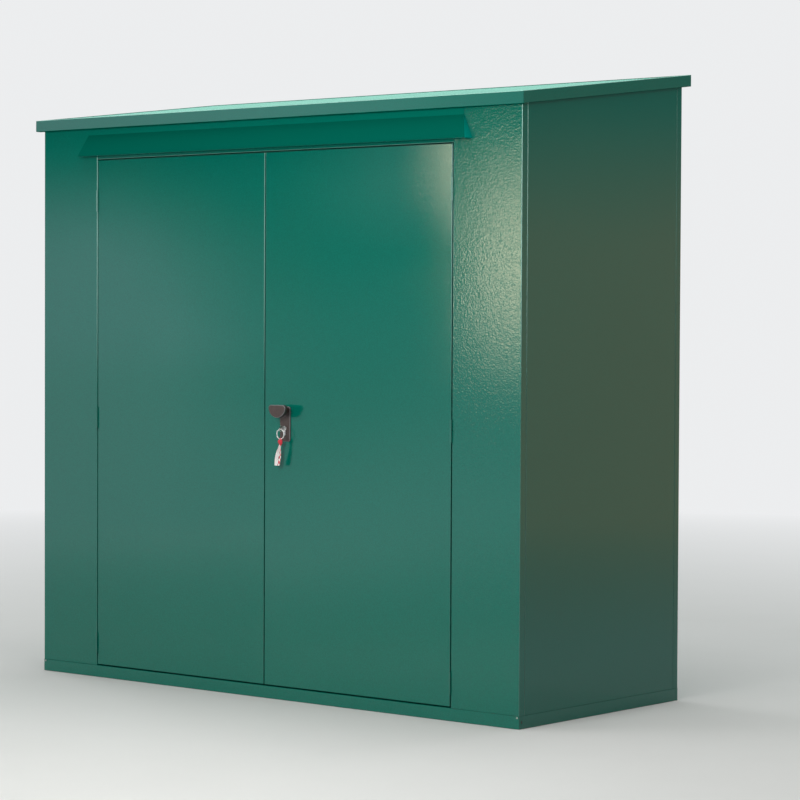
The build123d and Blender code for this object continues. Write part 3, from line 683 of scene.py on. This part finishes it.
class CoatBareMetal(bpy.types.Operator):
    """Zinc on the floor trays, bearer, lock case and rods"""

    bl_idname = "tool_shed.coat_bare_metal"
    bl_label = "Zinc the Floor and Lock Rods"

    def execute(self, context):
        dress(ZINC_NODES, galvanised("zinc_coat", context.scene.shed_colours.zinc))
        return {"FINISHED"}


class FinishLock(bpy.types.Operator):
    """Brown-grey lock plate and handle, bright cylinder, key and ring"""

    bl_idname = "tool_shed.finish_lock"
    bl_label = "Finish the Lock"

    def execute(self, context):
        colours = context.scene.shed_colours
        dress(LOCK_NODES, lock_coat("lock_coat", colours.lock))
        dress(KEY_NODES, bright_metal("bright_steel", colours.steel, 0.24))
        dress(("key_tag",), webbing("strap_plain", colours.strap_white))
        return {"FINISHED"}


class AddScrews(bpy.types.Operator):
    """Small screws at the front corners of the base and fixing slots in its side rails"""

    bl_idname = "tool_shed.add_screws"
    bl_label = "Add Base Screws and Slots"

    def execute(self, context):
        sizes = context.scene.shed_sizes
        steel = bright_metal("screw_steel", context.scene.shed_colours.steel, 0.3)
        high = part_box("base_right_rail")[1]
        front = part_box("base_front_rail")[0]
        level = high.z - SCREW_DROP
        profile = [(sizes.screw_head / 2 * share, height * MM) for share, height in SCREW_PROFILE]
        for side, name in ((-1, "left"), (1, "right")):
            centre = Vector((side * (high.x - sizes.screw_inset), front.y, level))
            piece_from(
                "base_screw_" + name, lambda builder: turned(builder, profile, centre), steel, "shed",
            )
            self.cut_slot(name, side, high.x, front.y, level - SLOT_DROP, sizes.slot_height)
        return {"FINISHED"}

    def cut_slot(self, name, side, face, corner, level, height):
        """A rimmed slot: a thin pressed edge with a dark piece inside it as painted shade of the hollow."""
        inside = bpy.data.materials.get("slot_hollow") or hollow_black("slot_hollow")
        rim = bpy.data.materials["base_powder_coat"]
        half = height * SLOT_HALF_SHARE

        def outline(grow, proud):
            """Outline of an upright slot, grown all round and proud of the rail; both in mm."""
            ring = []
            for angle in angles(20):
                rise = (height / 2 - half) * (1 if math.sin(angle) > 0 else -1)
                ring.append(Vector((
                    side * (face + proud * MM),
                    corner + SLOT_INSET + (half + grow * MM) * math.cos(angle),
                    level + rise + (half + grow * MM) * math.sin(angle),
                )))
            return ring

        rim_rings = [outline(*step) for step in SLOT_RIM]
        hollow_rings = [outline(*step) for step in SLOT_HOLLOW]
        piece_from(
            "base_slot_rim_" + name, lambda builder: rings_to_mesh(builder, rim_rings, close_ends=False),
            rim, "shed",
        )
        piece_from(
            "base_slot_" + name, lambda builder: rings_to_mesh(builder, hollow_rings),
            inside, "shed",
        )


class FitKey(bpy.types.Operator):
    """Key left in the lock, with its split ring and the cylinder's plug"""

    bl_idname = "tool_shed.fit_key"
    bl_label = "Fit the Key and Ring"

    def execute(self, context):
        steel = bright_metal("key_steel", context.scene.shed_colours.steel, 0.24)
        self.fit_plug(steel)
        self.fit_key(steel)
        # The ring is painted near-white as a painted highlight, in place of the glints of bright metal
        polished = bright_metal("ring_painted_glint", RING_GLINT_WHITE, 0.30, 0.1)
        self.fit_ring(polished, context.scene.shed_sizes.ring_wire)
        return {"FINISHED"}

    def fit_plug(self, steel):
        """The turning plug in the round head of the cylinder."""
        low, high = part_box("lock_cylinder")
        head = (high.x - low.x) / 2
        centre = Vector(((low.x + high.x) / 2, low.y, high.z - head))
        plug = head * PLUG_SHARE
        profile = (
            (plug, -0.4 * MM), (plug, 0.3 * MM), (plug - 0.4 * MM, 0.6 * MM), (plug * 0.5, 0.7 * MM),
            (plug * 0.3, 0.7 * MM),
        )
        piece_from("cylinder_plug", lambda b: turned(b, profile, centre), steel, "right_door")

    def fit_key(self, steel):
        """Key bow with its hole, dished on both faces, and the neck that runs into the lock."""
        low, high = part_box("door_key")
        bow = (high.z - low.z) / 2
        middle = Vector(((low.x + high.x) / 2, low.y + bow, (low.z + high.z) / 2))
        end = high.y - middle.y + KEY_HOLE_OFFSET
        half = (high.x - low.x) / 2

        def edge(angle):
            """Distance from the hole to the key's outline; angle 0 points at the lock."""
            cosine, sine = math.cos(angle), math.sin(angle)
            around = KEY_HOLE_OFFSET * cosine + math.sqrt(bow**2 - (KEY_HOLE_OFFSET * sine) ** 2)
            if cosine <= 0:
                return around
            to_side = KEY_NECK_HALF / max(abs(sine), 1e-6)
            along = min(to_side, end / cosine)
            return max(around, along) if to_side > around * 0.98 else around

        def loop(share, inset, across):
            """share 0 is the hole's rim and 1 the outline."""
            ring = []
            for angle in angles(KEY_STEPS):
                radius = KEY_HOLE_RADIUS + (edge(angle) - inset - KEY_HOLE_RADIUS) * share
                ring.append(Vector((
                    middle.x + across,
                    middle.y - KEY_HOLE_OFFSET + radius * math.cos(angle),
                    middle.z + radius * math.sin(angle),
                )))
            return ring

        dish = half - KEY_DISH
        profile = (
            (0.0, 0.0, half - KEY_RIM), (0.06, 0.0, half), (0.20, 0.0, half), (0.26, 0.0, dish),
            (0.74, 0.0, dish), (0.80, 0.0, half), (1.0, KEY_LIP, half), (1.0, 0.0, half - KEY_LIP),
        )
        rings = [loop(share, inset, -across) for share, inset, across in profile]
        rings += [loop(share, inset, across) for share, inset, across in reversed(profile)]
        rings.append(loop(0.0, 0.0, KEY_RIM - half))
        key = piece_from(
            "key", lambda builder: rings_to_mesh(builder, rings, close_ends=False), steel, "right_door",
        )
        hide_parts("door_key")

    def fit_ring(self, steel, wire):
        """Split ring: two flat turns side by side, each end tucked against the other turn."""
        low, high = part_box("key_ring")
        centre = (low + high) / 2
        radius = (high.x - low.x) / 2 - wire

        def skin(builder):
            rings = []
            for index in range(RING_STEPS + 1):
                share = index / RING_STEPS
                angle = 2 * math.pi * RING_TURNS * share + RING_START
                along = wire * min(1.0, max(-1.0, (share - 0.5) * RING_SWAP))
                out = Vector((math.cos(angle), 0.0, math.sin(angle)))
                middle = centre + out * radius + Vector((0.0, along, 0.0))
                rings.append([
                    middle + out * (wire * math.cos(turn)) + Vector((0.0, wire * 0.95 * math.sin(turn), 0.0))
                    for turn in angles(RING_SIDES)
                ])
            rings_to_mesh(builder, rings)

        ring = piece_from("split_ring", skin, steel, "right_door", smooth_angle=60)
        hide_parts("key_ring")


class HangStrap(bpy.types.Operator):
    """Red and white ribbon strap on the split ring"""

    bl_idname = "tool_shed.hang_strap"
    bl_label = "Hang the Key Strap"

    def execute(self, context):
        sizes = context.scene.shed_sizes
        colours = context.scene.shed_colours
        low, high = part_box("key_tag")
        ring_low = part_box("key_ring")[0]
        middle = (low + high) / 2
        foot = low.z + STRAP_FOOT
        knot_top = ring_low.z - STRAP_GAP
        knot_foot = knot_top - STRAP_KNOT
        run_top = knot_foot + RUN_TUCK

        def ribbon(path, steps):
            """Builder of a thin bowed band; path(share) gives its middle, direction across and width."""
            def build(builder):
                rings = []
                for index in range(steps + 1):
                    share = index / steps
                    point, across, wide = path(share)
                    ahead = path(min(1.0, share + 0.01))[0] - path(max(0.0, share - 0.01))[0]
                    normal = across.cross(ahead).normalized()
                    rings.append([
                        point + across * (u * wide / 2)
                        + normal * (v * RIBBON_THICKNESS / 2 + RIBBON_BOW * wide * (1 - u * u) / 2)
                        for u, v in RIBBON_SECTION
                    ])
                rings_to_mesh(builder, rings)
            return build

        def loop_path(share):
            """Narrow loop round the ring's wire and down into the knot."""
            angle = math.radians(-70 + 320 * share)
            centre = Vector((middle.x, middle.y, ring_low.z + LOOP_RISE))
            point = centre + LOOP_RADIUS * Vector((0.0, math.sin(angle), math.cos(angle)))
            return point, Vector((1.0, 0.0, 0.0)), LOOP_WIDTH

        def run_path(side, sway, curl):
            """One run of ribbon from the knot down, in front (side -1) or behind (side 1)."""
            def path(share):
                spread = side * math.sin(math.pi * min(1.0, share * 0.9))
                point = Vector((
                    middle.x + sway * share + RUN_SPREAD * spread,
                    middle.y + RUN_LEAD * spread,
                    run_top + (foot - run_top) * share,
                ))
                turn = curl * (1.0 - share)
                across = Vector((math.cos(turn), math.sin(turn), 0.0))
                return point, across, sizes.ribbon_width * (0.62 + 0.38 * min(1.0, share * 2.2))
            return path

        def knot(builder):
            """Gathered head of the strap: a soft fold, wider below, with creases."""
            rings = []
            for index in range(KNOT_ROWS + 1):
                share = index / KNOT_ROWS
                swell = math.sin(math.pi * min(1.0, share * 1.15 + 0.05))
                wide = (4.8 + 5.0 * swell ** 0.7) * MM
                deep = (2.4 + 2.2 * swell) * MM
                ring = []
                for angle in angles(KNOT_SIDES):
                    crease = 1.0 + 0.10 * math.cos(5 * angle + 3.0 * share) * swell
                    ring.append(Vector((
                        middle.x + wide * crease * math.cos(angle),
                        middle.y + deep * crease * math.sin(angle),
                        knot_top + (knot_foot - knot_top) * share,
                    )))
                rings.append(ring)
            rings_to_mesh(builder, rings)

        red = webbing("strap_red_weave", colours.strap_red)
        white = webbing("strap_white_weave", colours.strap_white)
        checked = webbing("strap_checked_weave", colours.strap_red, colours.strap_white)
        twist = sizes.ribbon_twist
        front_run = ribbon(run_path(-1, FRONT_SWAY, twist), RUN_STEPS)
        back_run = ribbon(run_path(1, BACK_SWAY, twist * BACK_TWIST), RUN_STEPS)
        for name, builder, material, angle in (
            ("strap_loop", ribbon(loop_path, LOOP_STEPS), red, 50),
            ("strap_knot", knot, red, 60),
            ("strap_front_run", front_run, white, 60),
            ("strap_back_run", back_run, checked, 60),
        ):
            made = piece_from(name, builder, material, "right_door", smooth_angle=angle)
            if builder is front_run:
                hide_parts("key_tag")
        return {"FINISHED"}


class SetStage(bpy.types.Operator):
    """Pale floor, soft lamps, plain world and the camera at the photograph's angle"""

    bl_idname = "tool_shed.set_stage"
    bl_label = "Set the Stage"

    def execute(self, context):
        scene = context.scene
        self.lay_floor(scene)
        self.light_world(scene)
        self.hang_lamps(scene)
        self.place_camera(scene)
        scene.view_settings.view_transform = "Standard"
        return {"FINISHED"}

    def lay_floor(self, scene):
        """Floor that keeps the shed's shadow near by and runs into the backdrop far off."""
        ground, backdrop = scene.shed_colours.floor, scene.shed_colours.backdrop
        make = Recipe("studio_floor")
        path = make.node("ShaderNodeLightPath").outputs
        tone = make.mix(make.spread(make.noise(3.0, detail=3.0)), shade(ground, 0.985), ground)
        bounced = make.mix(path["Is Diffuse Ray"], tone, shade(ground, FLOOR_BOUNCE))
        material = make.finish(Base_Color=bounced, Roughness=0.9)
        spot = make.axes(make.spot)
        distance = make.vector_math("LENGTH", make.spot)
        to_left = make.ramp(make.math("DIVIDE", spot["X"], distance), *HORIZON_TURN)
        dimming = make.times(to_left, make.ramp(distance, *FAR_FLOOR, 0.0, FAR_FLOOR_DIMMING))
        ahead = make.mix(dimming, tint(backdrop, FRONT_FLOOR_GLOSS), BLACK)
        mirrored = make.mix(make.ramp(spot["Y"], -1.0, 1.0), ahead, tint(backdrop, BACK_GLOSS_LOW))
        far = make.node("ShaderNodeEmission")
        make.fill(far, Color=make.mix(path["Is Glossy Ray"], backdrop, mirrored))
        seen = make.math("MAXIMUM", path["Is Camera Ray"], path["Is Glossy Ray"])
        share = make.times(make.ramp(distance, *FLOOR_FADE), seen)
        make.fill(make.output, Surface=make.blend(share, make.shader.outputs[0], far.outputs[0]))
        reach = scene.shed_sizes.floor_reach
        mesh = bpy.data.meshes.new("studio_floor")
        corners = [(-reach, -reach, 0), (reach, -reach, 0), (reach, reach, 0), (-reach, reach, 0)]
        mesh.from_pydata(corners, [], [(0, 1, 2, 3)])
        mesh.materials.append(material)
        floor = bpy.data.objects.new("studio_floor", mesh)
        scene.collection.objects.link(floor)

    def light_world(self, scene):
        """The camera sees the plain backdrop; gloss sees paler ground, and a dim band above the horizon."""
        backdrop = scene.shed_colours.backdrop
        world = bpy.data.worlds.new("studio_world")
        scene.world = world
        world.use_nodes = True
        world.node_tree.nodes.clear()
        make = Wiring(world.node_tree)
        towards = make.axes(make.node("ShaderNodeTexCoord").outputs["Generated"])

        def ground(colour, strength=1.0):
            return make.fill(make.node("ShaderNodeBackground"), Color=colour, Strength=strength).outputs[0]

        def banded(horizon, low, high):
            """One tint of the backdrop below the horizon and another above it."""
            rise = make.ramp(towards["Z"], *horizon)
            return make.blend(rise, ground(tint(backdrop, low)), ground(tint(backdrop, high)))

        front_horizon = [
            make.ramp(towards["X"], *HORIZON_TURN, far_left, straight)
            for far_left, straight in zip(FAR_LEFT_HORIZON, FRONT_HORIZON)
        ]
        in_gloss = make.blend(
            make.ramp(towards["Y"], -0.3, 0.3),
            banded(front_horizon, FRONT_GLOSS_LOW, FRONT_GLOSS_HIGH),
            banded(BACK_HORIZON, BACK_GLOSS_LOW, BACK_GLOSS_HIGH),
        )
        path = make.node("ShaderNodeLightPath").outputs
        mirrored = make.math("MAXIMUM", path["Is Glossy Ray"], path["Is Transmission Ray"])
        unseen = make.blend(mirrored, ground(WORLD_TINT, WORLD_LIGHT), in_gloss)
        whole = make.blend(path["Is Camera Ray"], unseen, ground(backdrop))
        make.fill(make.node("ShaderNodeOutputWorld"), Surface=whole)

    def hang_lamps(self, scene):
        for name, place, aim, across, tall, watts, shade_of, glossy, soft in LAMPS:
            data = bpy.data.lights.new(name, "AREA")
            data.shape = "RECTANGLE"
            data.size = across
            data.size_y = tall
            data.energy = watts
            data.color = shade_of
            if soft:
                self.soften_edge(data)
            lamp = bpy.data.objects.new(name, data)
            scene.collection.objects.link(lamp)
            lamp.visible_glossy = glossy
            lamp.location = place
            lamp.rotation_mode = "QUATERNION"
            lamp.rotation_quaternion = (Vector(aim) - Vector(place)).to_track_quat("-Z", "Y")

    def soften_edge(self, data):
        """Lets a lamp fade towards its rim, so its mirror image has no hard edge."""
        data.use_nodes = True
        make = Wiring(data.node_tree)
        emission = next(node for node in make.tree.nodes if node.bl_idname == "ShaderNodeEmission")
        face = make.axes(make.node("ShaderNodeNewGeometry").outputs["Parametric"])
        fades = []
        for axis in "XY":
            from_middle = make.math("ABSOLUTE", make.math("SUBTRACT", face[axis], 0.5))
            fades.append(make.ramp(from_middle, *LAMP_FADE, style="SMOOTHSTEP"))
        make.fill(emission, Strength=make.times(*fades))

    def place_camera(self, scene):
        ahead = Vector((
            math.sin(CAMERA_YAW) * math.cos(CAMERA_PITCH),
            math.cos(CAMERA_YAW) * math.cos(CAMERA_PITCH),
            math.sin(CAMERA_PITCH),
        ))
        level = Vector((math.cos(CAMERA_YAW), -math.sin(CAMERA_YAW), 0.0))
        upward = level.cross(ahead)
        across = math.cos(CAMERA_ROLL) * level + math.sin(CAMERA_ROLL) * upward
        up = -math.sin(CAMERA_ROLL) * level + math.cos(CAMERA_ROLL) * upward
        turn = Matrix((across, up, -ahead)).transposed().to_4x4()
        data = bpy.data.cameras.new("photo_camera")
        data.sensor_fit = "HORIZONTAL"
        data.sensor_width = SENSOR_MM
        data.lens = CAMERA_PIXELS / PHOTO_PIXELS * SENSOR_MM
        data.clip_start, data.clip_end = CAMERA_CLIP
        camera = bpy.data.objects.new("photo_camera", data)
        scene.collection.objects.link(camera)
        camera.matrix_world = Matrix.Translation(CAMERA_PLACE) @ turn
        scene.camera = camera


STEPS = (PaintShed, CoatBareMetal, FinishLock, AddScrews, FitKey, HangStrap, SetStage)


class ToolShedPanel(bpy.types.Panel):
    """The dressing steps, in order, with their sizes and colours"""

    bl_idname = "VIEW3D_PT_tool_shed"
    bl_label = "Tool Shed"
    bl_space_type = "VIEW_3D"
    bl_region_type = "UI"
    bl_category = "Tool Shed"

    def draw(self, context):
        layout = self.layout
        for group in (context.scene.shed_sizes, context.scene.shed_colours):
            column = layout.column(align=True)
            for key in group.__annotations__:
                column.prop(group, key)
        for step in STEPS:
            layout.operator(step.bl_idname)


CLASSES = (ShedSizes, ShedColours) + STEPS + (ToolShedPanel,)


def register():
    for cls in CLASSES:
        bpy.utils.register_class(cls)
    bpy.types.Scene.shed_sizes = PointerProperty(type=ShedSizes)
    bpy.types.Scene.shed_colours = PointerProperty(type=ShedColours)


def unregister():
    del bpy.types.Scene.shed_colours
    del bpy.types.Scene.shed_sizes
    for cls in reversed(CLASSES):
        bpy.utils.unregister_class(cls)


def main():
    register()
    bpy.ops.tool_shed.paint_shed()
    bpy.ops.tool_shed.coat_bare_metal()
    bpy.ops.tool_shed.finish_lock()
    bpy.ops.tool_shed.add_screws()
    bpy.ops.tool_shed.fit_key()
    bpy.ops.tool_shed.hang_strap()
    bpy.ops.tool_shed.set_stage()


if __name__ == "__main__":
    main()
